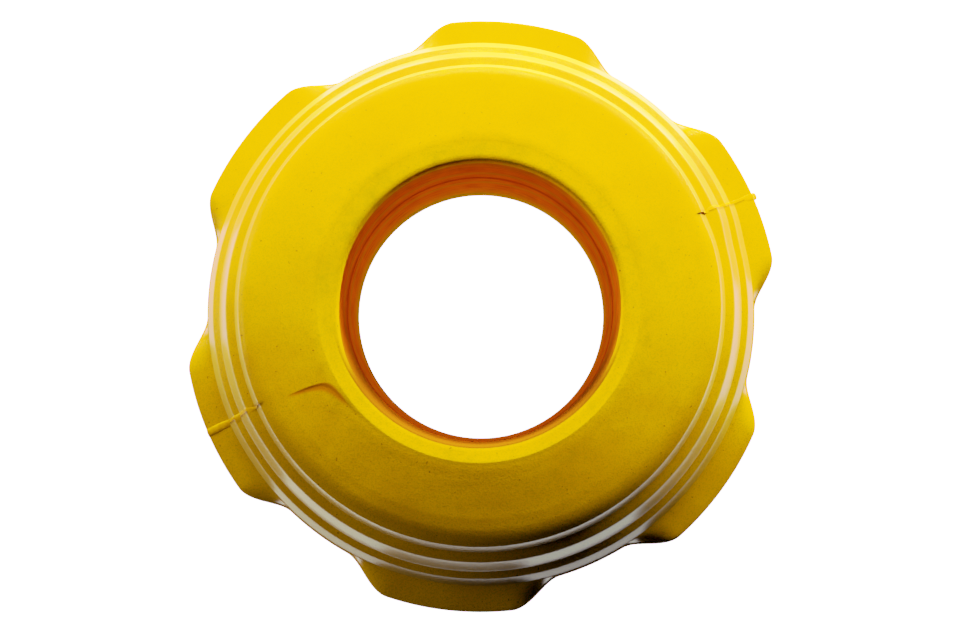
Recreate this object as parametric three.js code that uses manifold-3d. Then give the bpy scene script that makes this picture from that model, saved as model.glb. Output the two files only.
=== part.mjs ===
// A thick, domed grip ring with six lobes on its rim, lying on its rear rim.
// Millimetres, +Z up along the ring's axis. The origin is on the axis, at the level of the rear rim.
// Two half shells meet on the plane y = 0, so the joints lie on the lobes at +X and -X.

import * as THREE from "three";
import { mergeVertices } from "three/addons/utils/BufferGeometryUtils.js";
import Module from "manifold-3d";

const wasm = await Module();
wasm.setup();

// Driving dimensions.
const THICKNESS = 27;
const LOBE_RADIUS = 50;
const RIM_RADIUS = 46.2;
const BORE_RADIUS = 22.5;
const SLEEVE_WALL = 1.7;
const SLEEVE_END_INSET = 3.2;
const LIP_RELIEF = 0.1;
const LIP_DEPTH = 1.4;
const CLEARANCE = 0.3;
const JOINT_GAP = 0.3;

// Flat ring that the object rests on, one on each side.
const LAND_INNER_RADIUS = 24.0;
const LAND_OUTER_RADIUS = 25.0;

// The dome falls from the land to the first ridge as a power of the distance.
const DOME_STEPS = 4;
const DOME_POWER = 1.5;

// Three stepped ridges on the shoulder: [radius, height above mid-plane] of each crest and foot.
const RIDGES = [
  { crest: [37.7, 10.7], foot: [39.2, 8.7] },
  { crest: [40.4, 8.3], foot: [42.9, 4.9] },
  { crest: [43.8, 4.4], foot: [45.6, 2.4] },
];

// Lobes: a flat circular top with sloping ends, the joints passing through the middle of two.
const LOBE_COUNT = 6;
const LOBE_PITCH = 360 / LOBE_COUNT;
const LOBE_TOP_HALF_ANGLE = 15.5;
const LOBE_BASE_HALF_ANGLE = 20;
const LOBE_EDGE_HEIGHT = 1.5;
const LOBE_BAND_HEIGHT = 1.0;
const LOBE_EDGE_BEVEL = 0.5;
const RIM_EDGE_HEIGHT = 1.2;
const RIM_BAND_HEIGHT = 0.5;
const RIM_EDGE_BEVEL = 0.2;

// Cavity of the shells, open towards the sleeve: [radius, height above mid-plane].
const CAVITY = [
  [24.5, 9.0],
  [33.0, 8.6],
  [37.0, 6.2],
  [41.2, 2.0],
];
const CORE_STEP = 10;
const CORE_END_ANGLE = 0.8;

// Locating pins across each joint, in the thick front and rear walls.
const PIN_RADIUS = 0.9;
const PIN_LENGTH = 10;
const PIN_CENTRE_RADIUS = 30;
const PIN_HEIGHT = 10.8;
const PIN_SIDES = 24;

// Cement squeezed out along each joint.
const BEAD_WIDTH = 1.2;
const BEAD_THICKNESS = 0.5;
const BEAD_INNER_RADIUS = 34;

const SLEEVE_SIDES = 64;
const HALF_THICKNESS = THICKNESS / 2;
const SLEEVE_RADIUS = BORE_RADIUS + SLEEVE_WALL;
const SLEEVE_HALF_LENGTH = HALF_THICKNESS - SLEEVE_END_INSET;
const SHELL_INNER_RADIUS = SLEEVE_RADIUS + CLEARANCE;

const MATERIALS = {
  shell: new THREE.MeshStandardMaterial({ color: 0xeecb02, roughness: 0.55, metalness: 0 }),
  sleeve: new THREE.MeshStandardMaterial({ color: 0xb54a06, roughness: 0.6, metalness: 0 }),
  core: new THREE.MeshStandardMaterial({ color: 0xe9dcae, roughness: 0.9, metalness: 0 }),
  pin: new THREE.MeshStandardMaterial({ color: 0xd8d4c8, roughness: 0.5, metalness: 0 }),
  bead: new THREE.MeshStandardMaterial({ color: 0xd9b40a, roughness: 0.5, metalness: 0 }),
};

// How far the rim is raised into a lobe at an angle in degrees: 0 in a gap, 1 on a lobe's top.
function lobeRise(angle) {
  const fromCentre = Math.abs(angle - LOBE_PITCH * Math.round(angle / LOBE_PITCH));
  const ramp = LOBE_BASE_HALF_ANGLE - LOBE_TOP_HALF_ANGLE;
  return THREE.MathUtils.clamp((LOBE_BASE_HALF_ANGLE - fromCentre) / ramp, 0, 1);
}

// Front half of the dome, from the land's outer edge to the first ridge's crest.
function domePoints() {
  const [crestRadius, crestHeight] = RIDGES[0].crest;
  const points = [];
  for (let i = 0; i <= DOME_STEPS; i++) {
    const t = i / DOME_STEPS;
    const drop = (HALF_THICKNESS - crestHeight) * t ** DOME_POWER;
    points.push([THREE.MathUtils.lerp(LAND_OUTER_RADIUS, crestRadius, t), HALF_THICKNESS - drop]);
  }
  return points;
}

// Edge of the rim between a gap (rise 0) and a lobe (rise 1).
function rimPoints(rise) {
  const { lerp } = THREE.MathUtils;
  return [
    [
      lerp(RIM_RADIUS - RIM_EDGE_BEVEL, LOBE_RADIUS - LOBE_EDGE_BEVEL, rise),
      lerp(RIM_EDGE_HEIGHT, LOBE_EDGE_HEIGHT, rise),
    ],
    [lerp(RIM_RADIUS, LOBE_RADIUS, rise), lerp(RIM_BAND_HEIGHT, LOBE_BAND_HEIGHT, rise)],
  ];
}

// Outer surface of the front half, from the dome's inner edge out to the rim.
function frontPoints(rise) {
  const ridges = RIDGES.flatMap(({ crest, foot }) => [crest, foot]).slice(1);
  return [...domePoints(), ...ridges, ...rimPoints(rise)];
}

// Adds the mirror image of a front outline, in reverse, so that it runs from front to rear.
function withRear(points) {
  return [...points, ...points.map(([r, h]) => [r, -h]).reverse()];
}

// Closed section of a shell: the lip, the outer surface, the rear lip, then the cavity back.
function shellSection(rise) {
  const lip = [
    [BORE_RADIUS + LIP_RELIEF, SLEEVE_HALF_LENGTH + CLEARANCE],
    [BORE_RADIUS + 2 * LIP_RELIEF, HALF_THICKNESS - LIP_DEPTH],
    [LAND_INNER_RADIUS, HALF_THICKNESS],
  ];
  const outside = withRear([...lip, ...frontPoints(rise)]);
  const cavityMouth = [SHELL_INNER_RADIUS, SLEEVE_HALF_LENGTH + CLEARANCE];
  return [...outside, ...withRear([cavityMouth, ...CAVITY]).reverse()];
}

// Foam section: the cavity's outline drawn in by the clearance.
function coreSection() {
  const inset = CAVITY.map(([r, h]) => [r - CLEARANCE, h - CLEARANCE]);
  inset[0] = [SHELL_INNER_RADIUS, CAVITY[0][1] - CLEARANCE];
  return withRear(inset);
}

// Angles in degrees at which a shell's section changes, over half a turn.
function shellAngles() {
  const offsets = [0, 5, 10, LOBE_TOP_HALF_ANGLE, LOBE_BASE_HALF_ANGLE, 25, 30];
  const mirrored = offsets.slice(1, -1).map((a) => LOBE_PITCH - a).reverse();
  const angles = [];
  for (let k = 0; k < LOBE_COUNT / 2; k++) {
    angles.push(...[...offsets, ...mirrored].map((a) => a + k * LOBE_PITCH));
  }
  return [...angles, 180];
}

// Closed solid swept about the axis: sectionAt(angle) is a closed outline of [radius, height].
function sweep(sectionAt, angles) {
  const sections = angles.map(sectionAt);
  const count = sections[0].length;
  const positions = [];
  sections.forEach((section, i) => {
    const turn = THREE.MathUtils.degToRad(angles[i]);
    section.forEach(([r, h]) => {
      positions.push(r * Math.cos(turn), r * Math.sin(turn), HALF_THICKNESS + h);
    });
  });
  const index = [];
  for (let i = 0; i + 1 < sections.length; i++) {
    for (let j = 0; j < count; j++) {
      const a = i * count + j;
      const b = i * count + ((j + 1) % count);
      index.push(a, b, a + count);
      index.push(b, b + count, a + count);
    }
  }
  const outline = sections[0].map(([r, h]) => new THREE.Vector2(r, h));
  const last = (sections.length - 1) * count;
  const endOutline = sections[sections.length - 1].map(([r, h]) => new THREE.Vector2(r, h));
  THREE.ShapeUtils.triangulateShape(outline, []).forEach(([a, b, c]) => index.push(a, b, c));
  THREE.ShapeUtils.triangulateShape(endOutline, []).forEach(([a, b, c]) => {
    index.push(last + a, last + c, last + b);
  });
  const geometry = new THREE.BufferGeometry();
  geometry.setAttribute("position", new THREE.Float32BufferAttribute(positions, 3));
  geometry.setIndex(index);
  return geometry;
}

function toManifold(geometry) {
  const bare = geometry.clone();
  bare.deleteAttribute("normal");
  bare.deleteAttribute("uv");
  const merged = mergeVertices(bare, 1e-4);
  const vertProperties = merged.attributes.position.array;
  const triVerts = new Uint32Array(merged.index.array);
  return new wasm.Manifold(new wasm.Mesh({ numProp: 3, vertProperties, triVerts }));
}

function toGeometry(solid) {
  const mesh = solid.getMesh();
  const geometry = new THREE.BufferGeometry();
  geometry.setAttribute("position", new THREE.BufferAttribute(mesh.vertProperties, 3));
  geometry.setIndex(new THREE.BufferAttribute(mesh.triVerts, 1));
  return geometry.toNonIndexed();
}

// Cylinder along Y at a joint, at the height of a front (+1) or rear (-1) pin.
function pinGeometry(radius, length, sideX, sideZ) {
  const geometry = new THREE.CylinderGeometry(radius, radius, length, PIN_SIDES);
  const z = HALF_THICKNESS + sideZ * PIN_HEIGHT;
  return geometry.translate(sideX * PIN_CENTRE_RADIUS, 0, z);
}

function shellGeometry() {
  let shell = toManifold(sweep((angle) => shellSection(lobeRise(angle)), shellAngles()));
  for (const sideX of [1, -1]) {
    for (const sideZ of [1, -1]) {
      const hole = pinGeometry(PIN_RADIUS + CLEARANCE, PIN_LENGTH + 2 * CLEARANCE, sideX, sideZ);
      shell = shell.subtract(toManifold(hole));
    }
  }
  return toGeometry(shell);
}

function coreGeometry() {
  const angles = [CORE_END_ANGLE];
  for (let angle = CORE_STEP; angle < 180; angle += CORE_STEP) {
    angles.push(angle);
  }
  return sweep(coreSection, [...angles, 180 - CORE_END_ANGLE]);
}

// Tube lining the bore, its ends under the shells' lips.
function sleeveGeometry() {
  const low = HALF_THICKNESS - SLEEVE_HALF_LENGTH;
  const high = HALF_THICKNESS + SLEEVE_HALF_LENGTH;
  const profile = [
    new THREE.Vector2(BORE_RADIUS, low),
    new THREE.Vector2(SLEEVE_RADIUS, low),
    new THREE.Vector2(SLEEVE_RADIUS, high),
    new THREE.Vector2(BORE_RADIUS, high),
    new THREE.Vector2(BORE_RADIUS, low),
  ];
  return new THREE.LatheGeometry(profile, SLEEVE_SIDES).rotateX(Math.PI / 2);
}

// Moves each inner point of an outline outwards, square to the line through its neighbours.
function offsetOutline(points, distance) {
  return points.slice(1, -1).map(([r, h], i) => {
    const [beforeR, beforeH] = points[i];
    const [afterR, afterH] = points[i + 2];
    const length = Math.hypot(afterR - beforeR, afterH - beforeH);
    const normalR = (beforeH - afterH) / length;
    const normalH = (afterR - beforeR) / length;
    return new THREE.Vector2(r + normalR * distance, h + normalH * distance);
  });
}

// Strip over the joint, from the front dome round the lobe to the rear dome.
function beadGeometry() {
  const covered = withRear(frontPoints(1)).filter(([r]) => r > BEAD_INNER_RADIUS);
  const near = offsetOutline(covered, CLEARANCE);
  const far = offsetOutline(covered, CLEARANCE + BEAD_THICKNESS);
  const shape = new THREE.Shape([...far, ...near.reverse()]);
  const settings = { depth: BEAD_WIDTH, bevelEnabled: false };
  const strip = new THREE.ExtrudeGeometry(shape, settings).translate(0, 0, -BEAD_WIDTH / 2);
  return strip.rotateX(Math.PI / 2).translate(0, 0, HALF_THICKNESS);
}

function piece(name, geometry, material) {
  const mesh = new THREE.Mesh(geometry, material);
  mesh.name = name;
  return mesh;
}

// One half: its shell and its foam core, turned about the axis and drawn back from the joint.
function half(name, turn) {
  const group = new THREE.Group();
  const pulled = new THREE.Group();
  pulled.position.y = JOINT_GAP / 2;
  pulled.add(piece(name + "_half_shell", shellGeometry(), MATERIALS.shell));
  pulled.add(piece(name + "_foam_core", coreGeometry(), MATERIALS.core));
  group.rotation.z = turn;
  group.add(pulled);
  return group;
}

// One joint: its bead of cement and its two locating pins.
function joint(name, sideX) {
  const group = new THREE.Group();
  const bead = piece(name + "_seam_bead", beadGeometry(), MATERIALS.bead);
  bead.rotation.z = sideX > 0 ? 0 : Math.PI;
  group.add(bead);
  for (const [level, sideZ] of [["front", 1], ["rear", -1]]) {
    const geometry = pinGeometry(PIN_RADIUS, PIN_LENGTH, sideX, sideZ);
    group.add(piece(name + "_" + level + "_pin", geometry, MATERIALS.pin));
  }
  return group;
}

const ring = new THREE.Group();
ring.add(half("upper", 0));
ring.add(half("lower", Math.PI));
ring.add(piece("bore_sleeve", sleeveGeometry(), MATERIALS.sleeve));
ring.add(joint("right", 1));
ring.add(joint("left", -1));

export default ring;
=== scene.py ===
"""Looks for a thick, lobed juggling ring of soft yellow plastic with an orange bore.

The ring lies flat on a pale floor, its axis along +Z. Its halves meet on a chord just off the plane y = 0,
so the joints lie on the lobes at +X (right) and -X (left). Lengths in the tables are millimetres.
"""

import math

import bmesh
import bpy
from mathutils import Matrix, Vector


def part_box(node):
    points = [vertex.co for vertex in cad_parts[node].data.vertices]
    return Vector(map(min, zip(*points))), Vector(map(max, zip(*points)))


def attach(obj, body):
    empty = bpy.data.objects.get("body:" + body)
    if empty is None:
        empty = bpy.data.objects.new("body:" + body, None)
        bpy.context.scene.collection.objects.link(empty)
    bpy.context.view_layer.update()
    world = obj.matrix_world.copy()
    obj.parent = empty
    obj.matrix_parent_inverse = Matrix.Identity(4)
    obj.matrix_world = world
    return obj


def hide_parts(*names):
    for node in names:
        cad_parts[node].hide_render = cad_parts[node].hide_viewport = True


MM = 0.001
DEG = math.pi / 180

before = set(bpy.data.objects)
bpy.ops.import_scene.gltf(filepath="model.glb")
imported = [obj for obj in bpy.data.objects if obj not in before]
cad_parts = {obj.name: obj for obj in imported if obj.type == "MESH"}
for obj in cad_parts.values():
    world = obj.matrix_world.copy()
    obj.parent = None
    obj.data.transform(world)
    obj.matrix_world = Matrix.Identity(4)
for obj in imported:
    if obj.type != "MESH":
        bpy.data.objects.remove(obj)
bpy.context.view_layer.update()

# ---------------------------------------------------------------- sizes, from the frame

shell_low, shell_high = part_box("upper_half_shell")
sleeve_low, sleeve_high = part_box("bore_sleeve")
THICKNESS = shell_high.z - shell_low.z
MID_HEIGHT = (shell_high.z + shell_low.z) / 2
BORE_RADIUS = 22.5 * MM
SLEEVE_OUTER_RADIUS = sleeve_high.x
SLEEVE_HALF_LENGTH = (sleeve_high.z - sleeve_low.z) / 2

LOBE_PITCH = 60 * DEG
LOBE_TOP_HALF_ANGLE = 12.2 * DEG
LOBE_BASE_HALF_ANGLE = 22.8 * DEG
# How far the joints' chord lies off the middle, and where the beads of cement on it lie.
JOINT_OFFSET = 1.2 * MM
BEAD_DRIFT = -1.3 * MM
# A fold sharper than this between two faces is left hard.
HARD_EDGE = 50 * DEG
LIP_WORN_TOWARDS = 246 * DEG

# ---------------------------------------------------------------- section of a shell

# Corners of the front half of the section, from the bore outwards:
# radius, height above mid-plane, rounding, how far a gap draws it in and down, painted sheen towards the
# next.
CORNERS = [
    (22.54, 10.60, 0.05, 0.0, 0.0, 0.0),
    (22.58, 13.20, 0.35, 0.0, 0.0, 0.0),
    (25.00, 13.50, 0.60, 0.0, 0.0, 0.0),
    (28.00, 13.03, 40.0, 0.0, 0.0, 0.0),
    (31.00, 12.53, 30.0, 0.0, 0.0, 0.0),
    (33.50, 12.10, 20.0, 0.0, 0.0, 0.0),
    (35.40, 11.72, 12.0, 0.0, 0.0, 0.0),
    (36.40, 11.45, 8.00, 0.0, 0.0, 0.0),
    (37.20, 11.13, 5.00, 0.0, 0.0, 0.0),
    (37.95, 10.66, 0.50, 0.0, 0.0, 1.0),
    (39.05, 8.85, 0.15, 0.0, 0.0, 0.0),
    (40.70, 8.20, 0.80, 0.0, 0.0, 1.0),
    (42.75, 5.00, 0.15, 0.0, 0.0, 0.0),
    (44.00, 4.35, 0.70, 0.0, 0.0, 1.0),
    (45.45, 2.50, 0.20, 0.0, 0.0, 0.0),
    (50.00, 1.50, 0.55, 3.8, 0.5, 0.0),
]
# The cavity, open towards the sleeve: radius and height of each corner.
CAVITY = [
    (24.5, 10.6),
    (24.5, 9.0),
    (33.0, 8.6),
    (37.0, 6.2),
    (41.2, 2.0),
]
# The last channel is the painted sheen on the ridges' steps, from 0 to 1.
SECTION_CHANNELS = ("out", "rise", "draw_in", "draw_down", "worn")


# How far apart points lie along the section, in millimetres: in the cavity, on the rear, on the
# front, and on the front's crest, where the other half's edge runs.
CAVITY_STEP = 4.0
REAR_STEP = 1.3
FRONT_STEP = 0.6
CREST_STEP = 0.2
CREST_SPAN = (24, 32)


def outline_step(start, end, outside):
    """How far apart points lie on a stretch of the section."""
    if not outside:
        return CAVITY_STEP
    if start[1] < 0:
        return REAR_STEP
    on_crest = CREST_SPAN[0] < (start[0] + end[0]) / 2 < CREST_SPAN[1]
    return CREST_STEP if on_crest else FRONT_STEP


def corner_points(before, corner, after):
    """Points that round one corner of an outline, each with the corner's channels."""
    here = Vector(corner[:2])
    back = Vector(before[:2]) - here
    on = Vector(after[:2]) - here
    rounding = corner[2]
    half_angle = back.angle(on) / 2
    if rounding == 0 or half_angle > 89.9 * DEG:
        return [(*corner[:2], corner[3], corner[4], max(before[5], corner[5]))]
    reach = min(rounding / math.tan(half_angle), 0.48 * min(back.length, on.length))
    rounding = reach * math.tan(half_angle)
    centre = here + (back.normalized() + on.normalized()).normalized() * (rounding / math.sin(half_angle))
    start = here + back.normalized() * reach - centre
    end = here + on.normalized() * reach - centre
    turn = start.angle_signed(end)
    points = []
    on_front = here.y > 0
    steps = 5 if on_front else 3
    for i in range(steps + 1):
        t = i / steps
        spot = centre + Matrix.Rotation(-turn * t, 2) @ start
        painted_sheen = before[5] * (1 - t) + corner[5] * t
        points.append((spot.x, spot.y, corner[3], corner[4], painted_sheen))
    return points


def split_stretch(start, end, step):
    """The points between two points of an outline, at most a step apart, without the end."""
    length = math.hypot(end[0] - start[0], end[1] - start[1])
    count = max(1, math.ceil(length / step))
    return [tuple(a + (b - a) * i / count for a, b in zip(start, end)) for i in range(count)]


def shell_section():
    """The closed section of a shell, as rows of SECTION_CHANNELS."""
    # The painted sheen runs from a corner to the next one, so on the mirrored half it belongs to the corner
    # before.
    painted_sheen = [corner[5] for corner in CORNERS]
    rear = [
        (r, -h, rounding, draw_in, -draw_down, painted_sheen[i - 1] if i else 0.0)
        for i, (r, h, rounding, draw_in, draw_down, _) in enumerate(CORNERS)
    ]
    outside = CORNERS + rear[::-1]
    cavity = [(r, h, 0, 0, 0, 0) for r, h in CAVITY]
    cavity = [(r, -h, 0, 0, 0, 0) for r, h, *_ in cavity] + cavity[::-1]
    loop = outside + cavity
    rounded = []
    for i, corner in enumerate(loop):
        rounded.append(corner_points(loop[i - 1], corner, loop[(i + 1) % len(loop)]))
    rows = []
    for i, points in enumerate(rounded):
        following = rounded[(i + 1) % len(rounded)][0]
        step = outline_step(points[-1], following, i < len(outside))
        rows += points[:-1] + split_stretch(points[-1], following, step)
    return rows


def outline_object(name, rows, channels, closed=True):
    """A string of edges that holds an outline, one float attribute for each channel."""
    mesh = bpy.data.meshes.new(name)
    edges = [(i, i + 1) for i in range(len(rows) - 1)]
    if closed:
        edges.append((len(rows) - 1, 0))
    mesh.from_pydata([(row[0] * MM, row[1] * MM, 0) for row in rows], edges, [])
    for column, channel in enumerate(channels):
        # The painted sheen is a plain amount; the other channels are lengths.
        scale = 1.0 if channel == "worn" else MM
        attribute = mesh.attributes.new(channel, "FLOAT", "POINT")
        attribute.data.foreach_set("value", [row[column] * scale for row in rows])
    outline = bpy.data.objects.new(name, mesh)
    bpy.context.scene.collection.objects.link(outline)
    return outline


# ---------------------------------------------------------------- node helpers


class Value:
    """A number running through a node tree. Arithmetic on it adds Math nodes."""

    def __init__(self, tree, socket):
        self.tree = tree
        self.socket = socket

    def apply(self, operation, *others):
        node = self.tree.nodes.new("ShaderNodeMath")
        node.operation = operation
        for slot, value in zip(node.inputs, (self, *others)):
            connect(self.tree, value, slot)
        return Value(self.tree, node.outputs[0])

    def __add__(self, other):
        return self.apply("ADD", other)

    def __sub__(self, other):
        return self.apply("SUBTRACT", other)

    def __mul__(self, other):
        return self.apply("MULTIPLY", other)

    def __truediv__(self, other):
        return self.apply("DIVIDE", other)

    __radd__ = __add__
    __rmul__ = __mul__

    def __rsub__(self, other):
        return (self * -1) + other

    def absolute(self):
        return self.apply("ABSOLUTE")

    def sin(self):
        return self.apply("SINE")

    def cos(self):
        return self.apply("COSINE")

    def fade(self, start, end, low=0.0, high=1.0):
        """Low at start and high at end, eased at both, and flat outside."""
        node = self.tree.nodes.new("ShaderNodeMapRange")
        node.interpolation_type = "SMOOTHSTEP"
        for slot, value in zip(node.inputs, (self, start, end, low, high)):
            connect(self.tree, value, slot)
        return Value(self.tree, node.outputs[0])

    def bump(self, centre, reach):
        """One at the centre, easing to nothing at the reach on either side."""
        return (self - centre).absolute().fade(0.0, reach, 1.0, 0.0)


def connect(tree, value, slot):
    """Gives a socket a Value, another socket or a plain constant."""
    if isinstance(value, Value):
        tree.links.new(value.socket, slot)
    elif isinstance(value, bpy.types.NodeSocket):
        tree.links.new(value, slot)
    else:
        slot.default_value = value


def add_node(tree, kind, inputs=None, **settings):
    """A new node with its settings and its inputs, which go by name or by index."""
    node = tree.nodes.new(kind)
    for name, value in settings.items():
        setattr(node, name, value)
    for key, value in (inputs or {}).items():
        connect(tree, value, node.inputs[key])
    return node


def noise(tree, position, size, detail=2.0, roughness=0.5, stretch=(1, 1, 1)):
    """Smooth noise from 0 to 1, its lumps about a size in metres across."""
    scaled = add_node(tree, "ShaderNodeVectorMath", {0: position, 1: stretch}, operation="MULTIPLY")
    texture = add_node(tree, "ShaderNodeTexNoise", {
        "Vector": scaled.outputs[0], "Scale": 1 / size, "Detail": detail, "Roughness": roughness,
    })
    return Value(tree, texture.outputs["Fac"])


def split(tree, vector):
    """The three numbers of a vector."""
    node = add_node(tree, "ShaderNodeSeparateXYZ", {0: vector})
    return [Value(tree, output) for output in node.outputs]


def combine(tree, x, y, z):
    return add_node(tree, "ShaderNodeCombineXYZ", {0: x, 1: y, 2: z}).outputs[0]


# ---------------------------------------------------------------- geometry node helpers


def geometry_tree(name, inputs):
    """A geometry tree with named inputs: {name: (socket type, default)}. Returns it and its Values."""
    tree = bpy.data.node_groups.new(name, "GeometryNodeTree")
    tree.interface.new_socket("Geometry", in_out="OUTPUT", socket_type="NodeSocketGeometry")
    for label, (kind, default) in inputs.items():
        socket = tree.interface.new_socket(label, in_out="INPUT", socket_type="NodeSocket" + kind)
        if default is not None:
            socket.default_value = default
    entry = tree.nodes.new("NodeGroupInput")
    return tree, {label: Value(tree, entry.outputs[label]) for label in inputs}


def finish_pieces(tree, geometry, material):
    """Shades a piece smooth except at its hard edges, makes it real and gives it its material."""
    smooth = add_node(tree, "GeometryNodeSetShadeSmooth", {"Geometry": geometry}).outputs[0]
    fold = Value(tree, add_node(tree, "GeometryNodeInputMeshEdgeAngle").outputs["Unsigned Angle"])
    hard = fold.apply("GREATER_THAN", HARD_EDGE)
    creased = add_node(
        tree, "GeometryNodeSetShadeSmooth",
        {"Geometry": smooth, "Selection": hard, "Shade Smooth": False}, domain="EDGE",
    )
    real = add_node(tree, "GeometryNodeRealizeInstances", {0: creased.outputs[0]})
    painted = add_node(tree, "GeometryNodeSetMaterial", {"Geometry": real.outputs[0], "Material": material})
    return painted.outputs[0]


def finish_tree(tree, geometry, material):
    """Ends a tree whose piece is all of one material."""
    add_node(tree, "NodeGroupOutput", {0: finish_pieces(tree, geometry, material)})


def named(tree, name):
    """A float attribute, read by name."""
    node = add_node(tree, "GeometryNodeInputNamedAttribute", {"Name": name}, data_type="FLOAT")
    return Value(tree, node.outputs["Attribute"])


def store(tree, geometry, name, value):
    """Stores a float on every point."""
    node = add_node(
        tree, "GeometryNodeStoreNamedAttribute",
        {"Geometry": geometry, "Name": name, "Value": value}, data_type="FLOAT", domain="POINT",
    )
    return node.outputs[0]


def curve_from(tree, outline):
    """The curve that an outline object's edges make."""
    info = add_node(tree, "GeometryNodeObjectInfo", {"Object": outline}, transform_space="ORIGINAL")
    return add_node(tree, "GeometryNodeMeshToCurve", {0: info.outputs["Geometry"]}).outputs[0]


def grow(name, tree, settings):
    """Runs a geometry tree and returns the plain mesh object that it makes."""
    seed = bpy.data.objects.new(name + "_seed", bpy.data.meshes.new(name + "_seed"))
    modifier = seed.modifiers.new("grow", "NODES")
    modifier.node_group = tree
    for item in tree.interface.items_tree:
        if item.in_out == "INPUT" and item.name in settings:
            modifier[item.identifier] = settings[item.name]
    bpy.context.scene.collection.objects.link(seed)
    graph = bpy.context.evaluated_depsgraph_get()
    mesh = bpy.data.meshes.new_from_object(seed.evaluated_get(graph), depsgraph=graph)
    seed.modifiers.remove(modifier)
    bpy.data.objects.remove(seed)
    mesh.name = name
    piece = bpy.data.objects.new(name, mesh)
    bpy.context.scene.collection.objects.link(piece)
    return piece


def face_out(piece, keep):
    """Turns the faces outwards, and drops the attributes that only shaped the piece."""
    model = bmesh.new()
    model.from_mesh(piece.data)
    bmesh.ops.remove_doubles(model, verts=model.verts, dist=1e-7)
    bmesh.ops.triangulate(model, faces=[f for f in model.faces if len(f.verts) > 4])
    bmesh.ops.recalc_face_normals(model, faces=model.faces)
    model.to_mesh(piece.data)
    model.free()
    spent = [a.name for a in piece.data.attributes if a.data_type == "FLOAT" and a.name not in keep]
    for name in spent:
        piece.data.attributes.remove(piece.data.attributes[name])


# ---------------------------------------------------------------- the half shells


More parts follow.
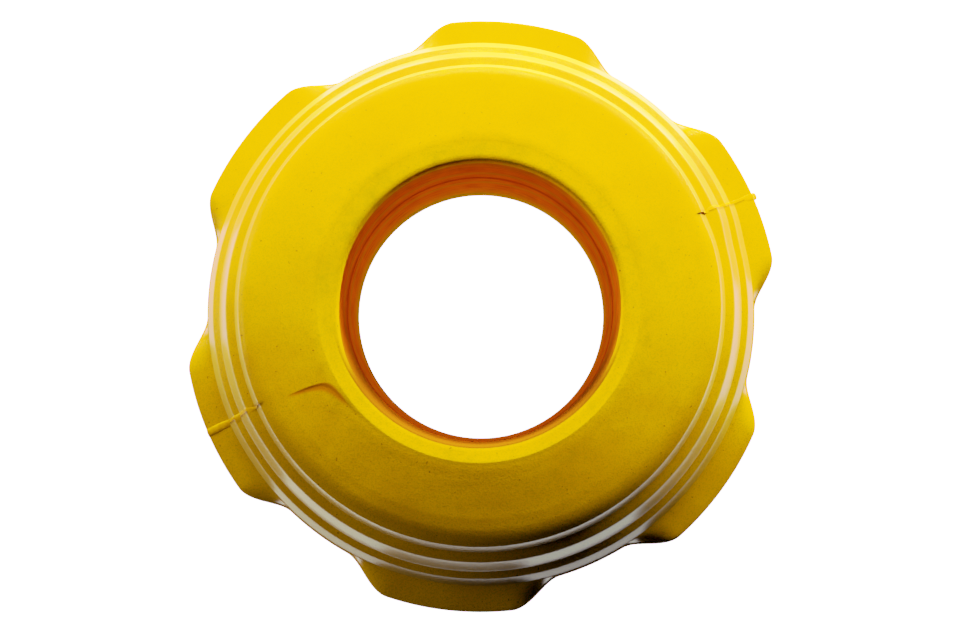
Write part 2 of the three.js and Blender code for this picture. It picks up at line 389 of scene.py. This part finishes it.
def half_shell_tree():
    """A half ring swept from a section, with its lobes, its lip and its step at each joint."""
    tree, given = geometry_tree("half_shell", {
        "Section": ("Object", None),
        "Material": ("Material", None),
        "Lip material": ("Material", None),
        "First angle": ("Float", 0.0),
        "Steps": ("Int", 380),
        "End crowding": ("Float", 0.6),
        "Lobe pitch": ("Float", LOBE_PITCH),
        "Lobe top half angle": ("Float", LOBE_TOP_HALF_ANGLE),
        "Lobe base half angle": ("Float", LOBE_BASE_HALF_ANGLE),
        "Mid height": ("Float", MID_HEIGHT),
        "Lip worn towards": ("Float", LIP_WORN_TOWARDS),
        "Crease": ("Float", 0.0),
        "Lap drop": ("Float", 0.0),
        "Joint offset": ("Float", JOINT_OFFSET),
        "First end step": ("Float", 0.0),
        "Last end step": ("Float", 0.0),
        "Waviness": ("Float", 0.16 * MM),
    })
    arc = add_node(tree, "GeometryNodeCurveArc", {
        "Resolution": given["Steps"], "Radius": 35 * MM, "Start Angle": 0.0, "Sweep Angle": math.pi,
    })
    along = Value(tree, add_node(tree, "GeometryNodeSplineParameter").outputs["Factor"])
    crowded = along - given["End crowding"] * (along * (2 * math.pi)).sin() / (2 * math.pi)
    path = store(tree, arc.outputs[0], "turn", crowded * math.pi)
    section = curve_from(tree, given["Section"])
    swept = add_node(tree, "GeometryNodeCurveToMesh", {
        "Curve": path, "Profile Curve": section, "Fill Caps": True,
    })

    turn = named(tree, "turn")
    to_last = math.pi - turn
    angle = turn + given["First angle"]
    radius = named(tree, "out")
    height = named(tree, "rise")
    front = height.fade(-1 * MM, 1 * MM)
    side = height.fade(-1 * MM, 1 * MM, -1.0, 1.0)

    # Lobes: the full section on a lobe, drawn in and down in a gap.
    from_lobe = (angle - (angle / given["Lobe pitch"]).apply("ROUND") * given["Lobe pitch"]).absolute()
    gap = from_lobe.fade(given["Lobe top half angle"], given["Lobe base half angle"])
    r = radius - named(tree, "draw_in") * gap
    z = height - named(tree, "draw_down") * gap

    # The lip is worn to a slope on one side of the front only. Elsewhere the face runs flat to the
    # bore, and the lip still stands over the end of the sleeve.
    worn = (angle - given["Lip worn towards"]).cos()
    unworn = worn.fade(-0.3, 0.7, 1.0, 0.40)
    flat = 1.0 - front + front * unworn
    flat = flat * radius.fade(22.55 * MM, 22.62 * MM) * radius.fade(24.0 * MM, 27.5 * MM, 1.0, 0.0)
    short = (23.0 * MM - radius).apply("MAXIMUM", 0.0)
    level = 13.50 * MM - (radius - 22.8 * MM) * 0.055 - short * short * (1.8 / MM)
    z = z + (side * level - z) * flat
    lean = (angle - given["Lip worn towards"] + 120 * DEG).cos() * 0.30 * MM + 0.78 * MM
    lean = lean * worn.fade(-0.2, 0.6, 1.0, 0.0) * front
    r = r - lean * radius.fade(22.6 * MM, 24.4 * MM, 1.0, 0.0) * height.fade(10.7 * MM, 12.0 * MM)

    # The other half laps over this one near the first joint. Its edge leaves the joint and bends
    # round into the crest, and this half's face lies lower beyond the edge.
    past_crest = (radius - 25.3 * MM).apply("MAXIMUM", 0.0)
    past_joint = (radius * turn.sin() - 0.55 * MM).apply("MAXIMUM", 0.0)
    past_joint = past_joint * (turn - math.pi / 2).fade(0.0, 0.01, 1.0, 0.0)
    from_edge = (past_crest * past_joint).apply("SQRT") - 1.05 * MM
    beyond = from_edge.fade(0.0, 0.55 * MM) * radius.fade(29 * MM, 34 * MM, 1.0, 0.0)
    beyond = beyond * turn.fade(6 * DEG, 24 * DEG, 1.0, 0.0)
    z = z - beyond * given["Lap drop"] * front

    # The halves are out of step at the joints: the outer ridges move, and the first ridge dips.
    near_first = turn.fade(0.0, 10 * DEG, 1.0, 0.0)
    near_last = to_last.fade(0.0, 10 * DEG, 1.0, 0.0)
    step = near_first * given["First end step"] + near_last * given["Last end step"]
    shift = radius.fade(38.8 * MM, 40.2 * MM) - radius.bump(38.2 * MM, 2.2 * MM) * 0.7
    shift = shift * radius.fade(46 * MM, 50 * MM, 1.0, 0.0)
    r = r + step * shift

    # The joints lie on a chord a little off the middle.
    bearing = angle - given["Joint offset"] / radius * angle.cos()
    placed = add_node(tree, "GeometryNodeSetPosition", {
        "Geometry": swept.outputs[0],
        "Position": combine(tree, r * bearing.cos(), r * bearing.sin(), z + given["Mid height"]),
    })

    # Slow waviness of a soft moulding, none on the lips and the joints.
    position = add_node(tree, "GeometryNodeInputPosition").outputs[0]
    loose = radius.fade(25.5 * MM, 29 * MM) * turn.fade(0.0, 5 * DEG) * to_last.fade(0.0, 5 * DEG)
    wave = (noise(tree, position, 14 * MM) - 0.5) * given["Waviness"] * loose
    wavy = add_node(tree, "GeometryNodeSetPosition", {
        "Geometry": placed.outputs[0], "Offset": combine(tree, 0.0, 0.0, wave * side),
    })

    # What the finishes need to know: the painted shadow along the lap, the crease, the joints and the
    # painted sheen on the ridges' steps.
    shadow = from_edge.fade(-0.10 * MM, 0.15 * MM) * from_edge.fade(0.75 * MM, 1.30 * MM, 1.0, 0.0)
    shadow = shadow * turn.fade(9 * DEG, 15 * DEG, 1.0, 0.0) * radius.fade(31 * MM, 33.5 * MM, 1.0, 0.0)
    shadow = shadow * front * given["Lap drop"] * (16.0 / MM)
    marked = store(tree, wavy.outputs[0], "lap_shadow", shadow)
    crease = radius.bump(25.2 * MM, 0.7 * MM) * front * turn.fade(80 * DEG, 130 * DEG, 1.0, 0.0)
    crease = crease * turn.fade(1 * DEG, 12 * DEG) * given["Crease"]
    marked = store(tree, marked, "crease", crease)
    close_first = (turn * radius).fade(0.0, 1.2 * MM, 1.0, 0.0)
    close_last = (to_last * radius).fade(0.0, 1.2 * MM, 1.0, 0.0)
    on_shoulder = radius.fade(35 * MM, 38 * MM)
    marked = store(tree, marked, "joint", (close_first + close_last) * on_shoulder)
    # The painted sheen on the ridges' steps.
    marked = store(tree, marked, "ridge", named(tree, "worn"))
    painted = finish_pieces(tree, marked, given["Material"])
    in_lip = (radius - 24.9 * MM).apply("LESS_THAN", 0.0)
    lip = add_node(tree, "GeometryNodeSetMaterial", {
        "Geometry": painted, "Selection": in_lip, "Material": given["Lip material"],
    })
    add_node(tree, "NodeGroupOutput", {0: lip.outputs[0]})
    return tree


# ---------------------------------------------------------------- the sleeve


# How far the sleeve reaches past its CAD end, up to the lip, in millimetres.
SLEEVE_REACH_UNDER_LIP = 0.28


def sleeve_section():
    """The closed section of the sleeve: a bore with one shallow groove, and rounded ends."""
    bore, outer = BORE_RADIUS / MM, SLEEVE_OUTER_RADIUS / MM
    half = SLEEVE_HALF_LENGTH / MM + SLEEVE_REACH_UNDER_LIP
    ends = [(bore + 0.06, half), (outer - 0.2, half), (outer, half - 0.2)]
    rows = ends + [(r, -h) for r, h in ends[::-1]]
    count = 96
    for i in range(count + 1):
        rows.append((bore, -half + 0.08 + (2 * half - 0.16) * i / count))
    return [(r, h, r, h) for r, h in rows]


def sleeve_tree():
    """The sleeve: its section turned about the ring's axis, with fine turned rings and a shallow groove."""
    tree, given = geometry_tree("bore_sleeve", {
        "Section": ("Object", None),
        "Material": ("Material", None),
        "Sides": ("Int", 360),
        "Mid height": ("Float", MID_HEIGHT),
        "Bore radius": ("Float", BORE_RADIUS),
        "Turning marks": ("Float", 0.05 * MM),
        "Groove height": ("Float", 0.0),
        "Groove depth": ("Float", 0.18 * MM),
    })
    path = add_node(tree, "GeometryNodeCurvePrimitiveCircle", {
        "Resolution": given["Sides"], "Radius": 23 * MM,
    })
    along = Value(tree, add_node(tree, "GeometryNodeInputIndex").outputs[0])
    marked = store(tree, path.outputs[0], "turn", along / given["Sides"] * (2 * math.pi))
    swept = add_node(tree, "GeometryNodeCurveToMesh", {
        "Curve": marked, "Profile Curve": curve_from(tree, given["Section"]),
    })
    turn, radius, height = named(tree, "turn"), named(tree, "out"), named(tree, "rise")
    inner = radius.fade(given["Bore radius"], given["Bore radius"] + 0.4 * MM, 1.0, 0.0)
    inner = inner * height.absolute().fade(9.6 * MM, 10.4 * MM, 1.0, 0.0)
    level = combine(tree, turn.cos() * 0.4 * MM, turn.sin() * 0.4 * MM, height)
    marks = noise(tree, level, 0.7 * MM, detail=1.0) * given["Turning marks"]
    groove = height.absolute().bump(given["Groove height"], 0.45 * MM) * given["Groove depth"]
    r = radius + inner * (marks + groove)
    placed = add_node(tree, "GeometryNodeSetPosition", {
        "Geometry": swept.outputs[0],
        "Position": combine(tree, r * turn.cos(), r * turn.sin(), height + given["Mid height"]),
    })
    finish_tree(tree, placed.outputs[0], given["Material"])
    return tree


# ---------------------------------------------------------------- the beads on the joints


# Where a bead begins, just outside the crest of the first ridge, in millimetres.
BEAD_INNER_RADIUS = 38.3


def bead_path(section):
    """The stretch of a shell's outside that a bead covers, from the front ridges to the rear ones."""
    rearmost = section.index(min(section, key=lambda row: row[1]))
    return [row for row in section[:rearmost] if row[0] > BEAD_INNER_RADIUS]


def bead_tree():
    """An uneven bead of cement squeezed out along a joint, with a nib at the rim."""
    tree, given = geometry_tree("seam_bead", {
        "Path": ("Object", None),
        "Material": ("Material", None),
        "Side": ("Float", 1.0),
        "Mid height": ("Float", MID_HEIGHT),
        "Width": ("Float", 1.25 * MM),
        "Proud": ("Float", 0.09 * MM),
        "Wander": ("Float", 0.3 * MM),
        "Drift": ("Float", 0.0),
        "Nib": ("Float", 0.0),
        "Nib place": ("Float", 0.475),
    })
    path = add_node(tree, "GeometryNodeResampleCurve", {
        "Curve": curve_from(tree, given["Path"]), "Count": 240,
    })
    along = Value(tree, add_node(tree, "GeometryNodeSplineParameter").outputs["Factor"])
    spot = split(tree, add_node(tree, "GeometryNodeInputPosition").outputs[0])
    heading = split(tree, add_node(tree, "GeometryNodeInputTangent").outputs[0])
    string = path.outputs[0]
    for name, value in (
        ("along", along), ("path_out", spot[0]), ("path_up", spot[1]),
        ("lift_out", heading[1] * -1), ("lift_up", heading[0]),
    ):
        string = store(tree, string, name, value)
    rim = add_node(tree, "GeometryNodeCurvePrimitiveCircle", {"Resolution": 16, "Radius": 1.0}).outputs[0]
    rim_spot = split(tree, add_node(tree, "GeometryNodeInputPosition").outputs[0])
    rim = store(tree, store(tree, rim, "across", rim_spot[0]), "proud", rim_spot[1])
    swept = add_node(tree, "GeometryNodeCurveToMesh", {
        "Curve": string, "Profile Curve": rim, "Fill Caps": True,
    })

    along = named(tree, "along")
    out, up = named(tree, "path_out"), named(tree, "path_up")
    line = combine(tree, out, given["Side"] * 0.05, up)
    taper = along.fade(0.0, 0.10) * along.fade(0.88, 1.0, 1.0, 0.0)
    uneven = noise(tree, line, 3.5 * MM, detail=1.0).fade(0.25, 0.75, 0.6, 1.2)
    nib = along.bump(given["Nib place"], 0.012) * given["Nib"]
    lift = named(tree, "proud") * (taper * uneven * given["Proud"] + nib * 0.5) + nib * 0.5
    width = taper.fade(0.0, 1.0, 0.25, 1.0) * uneven.fade(0.0, 1.3, 0.7, 1.1) * given["Width"] / 2
    wander = (noise(tree, line, 5 * MM, detail=1.0) - 0.5) * given["Wander"] + given["Drift"]
    x = (out + named(tree, "lift_out") * lift) * given["Side"]
    y = named(tree, "across") * width + wander
    z = up + named(tree, "lift_up") * lift + given["Mid height"]
    placed = add_node(tree, "GeometryNodeSetPosition", {
        "Geometry": swept.outputs[0], "Position": combine(tree, x, y, z),
    })
    finish_tree(tree, placed.outputs[0], given["Material"])
    return tree


# ---------------------------------------------------------------- finishes


YELLOW = (0.92, 0.430, 0.0005, 1)
CREAM = (0.92, 0.60, 0.10, 1)
OLIVE = (0.46, 0.26, 0.001, 1)
AMBER = (0.62, 0.22, 0.001, 1)
BROWN = (0.16, 0.045, 0.002, 1)
ORANGE = (0.92, 0.17, 0.003, 1)
RUST = (0.62, 0.070, 0.002, 1)
FOAM_CREAM = (0.80, 0.70, 0.46, 1)
FOAM_SHADE = (0.42, 0.32, 0.16, 1)
ROD_GREY = (0.42, 0.43, 0.44, 1)
ROD_DARK = (0.24, 0.245, 0.25, 1)

# Handled patches on the face: x, y and reach in millimetres, and strength.
SMUDGES = (
    (27.5, -2.0, 7.0, 0.42),
    (24.5, -9.0, 5.5, 0.30),
    (-9.0, 26.0, 6.0, 0.30),
    (-24.0, 15.0, 7.0, 0.22),
    (20.0, 19.0, 5.0, 0.25),
)


class Finish:
    """A material with one Principled shader, and its nodes' common inputs."""

    def __init__(self, name, **settings):
        self.material = bpy.data.materials.new(name)
        self.material.use_nodes = True
        self.tree = self.material.node_tree
        self.shader = self.tree.nodes["Principled BSDF"]
        for label, value in settings.items():
            self.shader.inputs[label.replace("_", " ")].default_value = value
        self.position = add_node(self.tree, "ShaderNodeTexCoord").outputs["Object"]
        self.x, self.y, self.z = split(self.tree, self.position)

    def marked(self, name):
        """A float that the mesh carries."""
        node = add_node(self.tree, "ShaderNodeAttribute", attribute_name=name)
        return Value(self.tree, node.outputs["Fac"])

    def tint(self, base, colour, amount):
        """Base turned towards a colour, by an amount from 0 to 1."""
        node = add_node(self.tree, "ShaderNodeMix", {0: amount, 6: base, 7: colour}, data_type="RGBA")
        return node.outputs[2]

    def noise(self, size, **settings):
        return noise(self.tree, self.position, size, **settings)

    def set(self, **inputs):
        for label, value in inputs.items():
            connect(self.tree, value, self.shader.inputs[label.replace("_", " ")])

    def smudges(self):
        """Soft patches where the ring has been handled, each at a place on the face."""
        patches = 0.0
        for x, y, reach, strength in SMUDGES:
            across = (self.x - x * MM).apply("POWER", 2.0) + (self.y - y * MM).apply("POWER", 2.0)
            patch = across.apply("SQRT").fade(reach * 0.55 * MM, reach * MM, strength, 0.0)
            patches = patch + patches
        return patches

    def worn_side(self, out):
        """One on the side where the lip is worn, and minus one opposite, at that distance out."""
        towards = self.x * math.cos(LIP_WORN_TOWARDS) + self.y * math.sin(LIP_WORN_TOWARDS)
        return towards / out

    def relief(self, height, depth):
        """Bump from a height of 0 to 1, that many metres deep."""
        bump = add_node(self.tree, "ShaderNodeBump", {"Strength": 1.0, "Distance": depth, "Height": height})
        self.set(Normal=bump.outputs[0])


def moulded_yellow(name, gloss, joint_darkening):
    """Soft moulded plastic: fine grain, slow mottling, specks, handling dirt and painted shade on the lip,
    grubby joints, painted sheen on the ridges' steps and a painted shadow along the lap.

    A gloss of 0 is for the lip, which is dulled by handling.
    """
    finish = Finish(name, Specular_IOR_Level=gloss, Roughness=0.17)
    colour = finish.tint(YELLOW, AMBER, finish.noise(9 * MM, detail=3.0).fade(0.35, 0.75, 0.0, 0.28))
    mottle = finish.noise(3.2 * MM, detail=4.0, roughness=0.65)
    out = (finish.x * finish.x + finish.y * finish.y).apply("SQRT")
    by_bore = out.fade(25 * MM, 33 * MM, 1.0, 0.15)
    colour = finish.tint(colour, OLIVE, mottle.fade(0.50, 0.72, 0.0, 0.4) * by_bore)
    grain = finish.noise(0.26 * MM, detail=2.0)
    colour = finish.tint(colour, OLIVE, grain.fade(0.40, 0.75, 0.0, 0.5))
    specks = finish.noise(0.5 * MM, detail=0.0).fade(0.80, 0.86, 0.0, 0.6)
    colour = finish.tint(colour, BROWN, specks)
    # Painted shade: the lip's inner wall turns a little browner further into the bore, under the lip.
    deep = (finish.z - MID_HEIGHT).absolute()
    inside = out.fade(22.9 * MM, 24.0 * MM, 1.0, 0.0)
    colour = finish.tint(colour, BROWN, inside * deep.fade(10.7 * MM, 12.2 * MM, 0.15, 0.0))
    # Painted shade: on the worn side the bore's edge faces the key lamp, and it is turned almost to brown.
    worn = finish.worn_side(out)
    painted_lip_shade = out.fade(22.75 * MM, 23.05 * MM, 1.0, 0.0) * worn.fade(0.1, 0.6)
    colour = finish.tint(colour, BROWN, painted_lip_shade * 0.97)
    away = (finish.x * -0.40 + finish.y * 0.92) / (25 * MM)
    handled = out.fade(23.2 * MM, 26.5 * MM, 1.0, 0.0) * away.fade(0.1, 0.9) + finish.smudges()
    colour = finish.tint(colour, OLIVE, handled * mottle.fade(0.3, 0.7, 0.20, 0.60))
    # Painted sheen: the ridges' steps turned pale cream where they roll over towards grazing.
    colour = finish.tint(colour, CREAM, finish.marked("ridge") * 0.5)
    colour = finish.tint(colour, OLIVE, finish.marked("crease").fade(0.0, 1.0, 0.0, 0.45))
    # Painted shadow of the other half's edge, along the lap.
    colour = finish.tint(colour, RUST, finish.marked("lap_shadow") * 0.65)
    colour = finish.tint(colour, BROWN, finish.marked("joint").fade(0.6, 1.0, 0.0, joint_darkening))
    finish.set(Base_Color=colour)
    finish.relief(grain + mottle * 0.6, 0.018 * MM)
    return finish.material


def turned_orange():
    """The sleeve: orange, with turned rings of rust, amber bands, amber towards its front end, yellow
    towards its rear end, and painted brown shade on the front half of the side that the key lamp lights.
    """
    finish = Finish("turned_orange", Specular_IOR_Level=0.0, Roughness=0.8)
    above = finish.z - MID_HEIGHT
    deep = above.absolute()
    level = combine(finish.tree, 0.0, 0.0, finish.z)
    rings = noise(finish.tree, level, 0.55 * MM, detail=3.0)
    blotch = finish.noise(4 * MM, detail=3.0)
    streaks = finish.noise(1.3 * MM, detail=3.0, stretch=(0.35, 0.35, 2.5))
    rust = (rings * 0.5 + blotch * 0.3 + streaks * 0.5).fade(0.5, 0.9)
    colour = finish.tint(ORANGE, RUST, rust)
    colour = finish.tint(colour, AMBER, deep.bump(2.9 * MM, 1.3 * MM) * 0.45)
    colour = finish.tint(colour, RUST, deep.fade(0.3 * MM, 1.1 * MM, 0.8, 0.0))
    colour = finish.tint(colour, AMBER, above.fade(5.0 * MM, 10.6 * MM, 0.0, 0.75))
    colour = finish.tint(colour, YELLOW, above.fade(-12.5 * MM, -6.0 * MM, 0.5, 0.0))
    # Painted shade: the front half of the bore wall on the worn side, which faces the key lamp, turned
    # almost to brown.
    painted_bore_shade = finish.worn_side(BORE_RADIUS).fade(-0.1, 0.6) * above.fade(-3 * MM, 5 * MM, 0.0, 0.96)
    colour = finish.tint(colour, BROWN, painted_bore_shade)
    finish.set(Base_Color=colour)
    finish.relief(rings + finish.noise(0.3 * MM) * 0.5, 0.05 * MM)
    return finish.material


def squeezed_cement():
    """The beads: the shells' yellow, lumpy, with amber on the raised lumps."""
    finish = Finish("squeezed_cement", Specular_IOR_Level=0.2, Roughness=0.35)
    lumps = finish.noise(1.1 * MM, detail=3.0)
    colour = finish.tint(YELLOW, AMBER, lumps.fade(0.4, 0.7, 0.0, 0.4))
    finish.set(Base_Color=colour)
    finish.relief(lumps, 0.06 * MM)
    return finish.material


def open_foam():
    """The cores: pale cream foam with open cells."""
    finish = Finish("open_foam", Roughness=0.9, Specular_IOR_Level=0.2)
    cells = add_node(finish.tree, "ShaderNodeTexVoronoi", {
        "Vector": finish.position, "Scale": 1 / (0.9 * MM),
    })
    cell = Value(finish.tree, cells.outputs["Distance"])
    finish.set(Base_Color=finish.tint(FOAM_CREAM, FOAM_SHADE, cell.fade(0.1, 0.6, 0.9, 0.0)))
    finish.relief(cell, 0.2 * MM)
    return finish.material


def pin_grey():
    """The locating pins: plain grey rod with drawn scratches along it."""
    finish = Finish("pin_grey", Roughness=0.4)
    scratches = finish.noise(0.2 * MM, detail=3.0, stretch=(1, 0.05, 1))
    finish.set(Base_Color=finish.tint(ROD_GREY, ROD_DARK, scratches.fade(0.4, 0.8)))
    finish.relief(scratches, 0.02 * MM)
    return finish.material


# ---------------------------------------------------------------- making the pieces

section_rows = shell_section()
section_outline = outline_object("shell_section", section_rows, SECTION_CHANNELS)
sleeve_outline = outline_object("sleeve_section", sleeve_section(), ("out", "rise"))
bead_outline = outline_object("bead_path", bead_path(section_rows), (), closed=False)

upper_yellow = moulded_yellow("moulded_yellow_upper", 0.9, 0.35)
lower_yellow = moulded_yellow("moulded_yellow_lower", 0.9, 0.6)
lip_yellow = moulded_yellow("handled_lip", 0.0, 0.0)
orange = turned_orange()
cement = squeezed_cement()

shell_tree = half_shell_tree()
upper_half = grow("upper_half", shell_tree, {
    "Section": section_outline,
    "Material": upper_yellow,
    "Lip material": lip_yellow,
    "First angle": 0.0,
})
lower_half = grow("lower_half", shell_tree, {
    "Section": section_outline,
    "Material": lower_yellow,
    "Lip material": lip_yellow,
    "First angle": math.pi,
    "Crease": 1.0,
    "Lap drop": 0.055 * MM,
    "First end step": 0.15 * MM,
    "Last end step": 0.55 * MM,
})
for half in (upper_half, lower_half):
    face_out(half, ("crease", "lap_shadow", "joint", "ridge"))
sleeve = grow("sleeve", sleeve_tree(), {"Section": sleeve_outline, "Material": orange})
face_out(sleeve, ())
bead = bead_tree()
right_bead = grow("right_bead", bead, {
    "Path": bead_outline, "Material": cement, "Side": 1.0, "Drift": BEAD_DRIFT, "Nib": 0.65 * MM,
})
left_bead = grow("left_bead", bead, {
    "Path": bead_outline, "Material": cement, "Side": -1.0, "Drift": BEAD_DRIFT,
})
for strip in (right_bead, left_bead):
    face_out(strip, ())
for outline in (section_outline, sleeve_outline, bead_outline):
    bpy.data.objects.remove(outline)

for piece, node, slot in (
    (upper_half, "upper_half_shell", "yellow_shell"),
    (lower_half, "lower_half_shell", "yellow_shell"),
    (sleeve, "bore_sleeve", "orange_sleeve"),
    (right_bead, "right_seam_bead", "seam_cement"),
    (left_bead, "left_seam_bead", "seam_cement"),
):
    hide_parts(node)
    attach(piece, "root")

foam = open_foam()
pin = pin_grey()
for name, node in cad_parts.items():
    if name.endswith("foam_core"):
        node.data.materials.clear()
        node.data.materials.append(foam)
    elif name.endswith("pin"):
        node.data.materials.clear()
        node.data.materials.append(pin)

# ---------------------------------------------------------------- floor, light and camera

# The camera looks down on the ring. Across and up are its directions on the floor.
TURN = 23.5 * DEG
ACROSS = Vector((math.cos(TURN), -math.sin(TURN), 0))
UP = Vector((math.sin(TURN), math.cos(TURN), 0))
AXIS = Vector((0, 0, 1))

# The level that the colour curves turn to pure white, and the level of the floor and the room.
WHITE_LEVEL = 6.0
ROOM_LEVEL = 6.5
FLOOR_REACH = 6.0
FLOOR_DEPTH = 0.2 * MM


def placed(across, up, height):
    """A point given along the camera's across and up, and above the floor."""
    return ACROSS * across + UP * up + AXIS * height


def lay_floor():
    """A wide, plain white floor. The room lights the ring from below, so the floor itself doesn't."""
    mesh = bpy.data.meshes.new("floor")
    corners = ((-1, -1), (1, -1), (1, 1), (-1, 1))
    spots = [(x * FLOOR_REACH, y * FLOOR_REACH, -FLOOR_DEPTH) for x, y in corners]
    mesh.from_pydata(spots, [], [(0, 1, 2, 3)])
    floor = bpy.data.objects.new("floor", mesh)
    bpy.context.scene.collection.objects.link(floor)
    floor.visible_diffuse = False
    floor.visible_glossy = False
    finish = Finish("floor_white", Roughness=0.9, Specular_IOR_Level=0.0, Emission_Strength=ROOM_LEVEL)
    finish.shader.inputs["Base Color"].default_value = (0.5, 0.5, 0.5, 1)
    finish.shader.inputs["Emission Color"].default_value = (1, 1, 1, 1)
    mesh.materials.append(finish.material)


def light_room():
    """A room that looks as white as the floor, and lights the ring from below the horizon only.

    The band just below the horizon is what the ridges' steps show. Straight down is dimmer.
    """
    world = bpy.data.worlds.new("studio")
    bpy.context.scene.world = world
    world.use_nodes = True
    tree = world.node_tree
    direction = add_node(tree, "ShaderNodeTexCoord").outputs["Generated"]
    height = split(tree, direction)[2]
    level = height.fade(-0.45, -0.18, 2.3, 0.0) * height.fade(-0.95, -0.60, 0.25, 1.0)
    seen = Value(tree, add_node(tree, "ShaderNodeLightPath").outputs["Is Camera Ray"])
    background = tree.nodes["Background"]
    connect(tree, level + (ROOM_LEVEL - level) * seen, background.inputs["Strength"])
    background.inputs["Color"].default_value = (1, 1, 1, 1)


# Levels that the tone curve passes through, and green levels with what each is held to.
TONE_LEVELS = (0.08, 0.2, 0.4, 0.7, 1.1, 1.6, 2.2, 3.0, 4.0)
TONE_TOP = 0.94
GREEN_HOLDS = ((0.3, 0.3), (0.7, 0.75), (1.1, 0.96), (1.5, 1.08), (1.9, 1.2), (2.5, 1.7), (3.2, 2.6))


def develop_like_film():
    """Rolls bright colours off towards white, as film does, and holds bright greens back a little."""
    settings = bpy.context.scene.view_settings
    settings.view_transform = "Standard"
    settings.use_curve_mapping = True
    curves = settings.curve_mapping
    curves.white_level = (WHITE_LEVEL,) * 3
    green, tone = curves.curves[1], curves.curves[3]
    for curve in (tone, green):
        curve.points[0].location = (0, 0)
        curve.points[1].location = (1, 1)
    for level in TONE_LEVELS:
        tone.points.new(level / WHITE_LEVEL, TONE_TOP * (1 - math.exp(-level)))
    for level, held in GREEN_HOLDS:
        green.points.new(level / WHITE_LEVEL, held / WHITE_LEVEL)
    curves.update()


def soft_light(name, place, size, watts, colour=(1, 1, 1)):
    """A rectangular lamp, aimed at the middle of the ring."""
    middle = Vector((0, 0, MID_HEIGHT))
    data = bpy.data.lights.new(name, "AREA")
    data.shape = "RECTANGLE"
    data.size, data.size_y = size
    data.energy = watts
    data.color = colour
    lamp = bpy.data.objects.new(name, data)
    bpy.context.scene.collection.objects.link(lamp)
    lamp.visible_glossy = False
    lamp.location = place
    lamp.rotation_euler = (middle - place).to_track_quat("-Z", "Y").to_euler()


# The camera's tilt off the ring's axis, and its place from the middle of the front face.
CAMERA_LEAN = 5.32 * DEG
CAMERA_SWING = 0.91 * DEG
CAMERA_DISTANCE = 129.11 * MM
CAMERA_RIGHT = 0.269 * MM
CAMERA_DOWN = 3.335 * MM


def aim_camera():
    """Looks almost straight down from just above the ring, and takes the whole ring in."""
    data = bpy.data.cameras.new("view")
    data.sensor_width = 36
    data.lens = 31.5
    data.clip_start = 0.01
    camera = bpy.data.objects.new("view", data)
    bpy.context.scene.collection.objects.link(camera)
    lean, swing = CAMERA_LEAN, CAMERA_SWING
    back = placed(math.sin(swing) * math.cos(lean), -math.sin(lean), math.cos(swing) * math.cos(lean))
    right = UP.cross(back).normalized()
    up = back.cross(right)
    front = Vector((0, 0, THICKNESS + shell_low.z))
    spot = front + back * CAMERA_DISTANCE + right * CAMERA_RIGHT - up * CAMERA_DOWN
    turn = Matrix((right, up, back)).transposed().to_4x4()
    camera.matrix_world = Matrix.Translation(spot) @ turn
    bpy.context.scene.camera = camera


lay_floor()
light_room()
soft_light("key", placed(0.12, 0.57, 0.152), (1.2, 0.14), 48.0, (1.0, 0.98, 0.40))
soft_light("side", placed(-0.57, 0.10, 0.16), (0.4, 0.14), 3.0)
aim_camera()
develop_like_film()
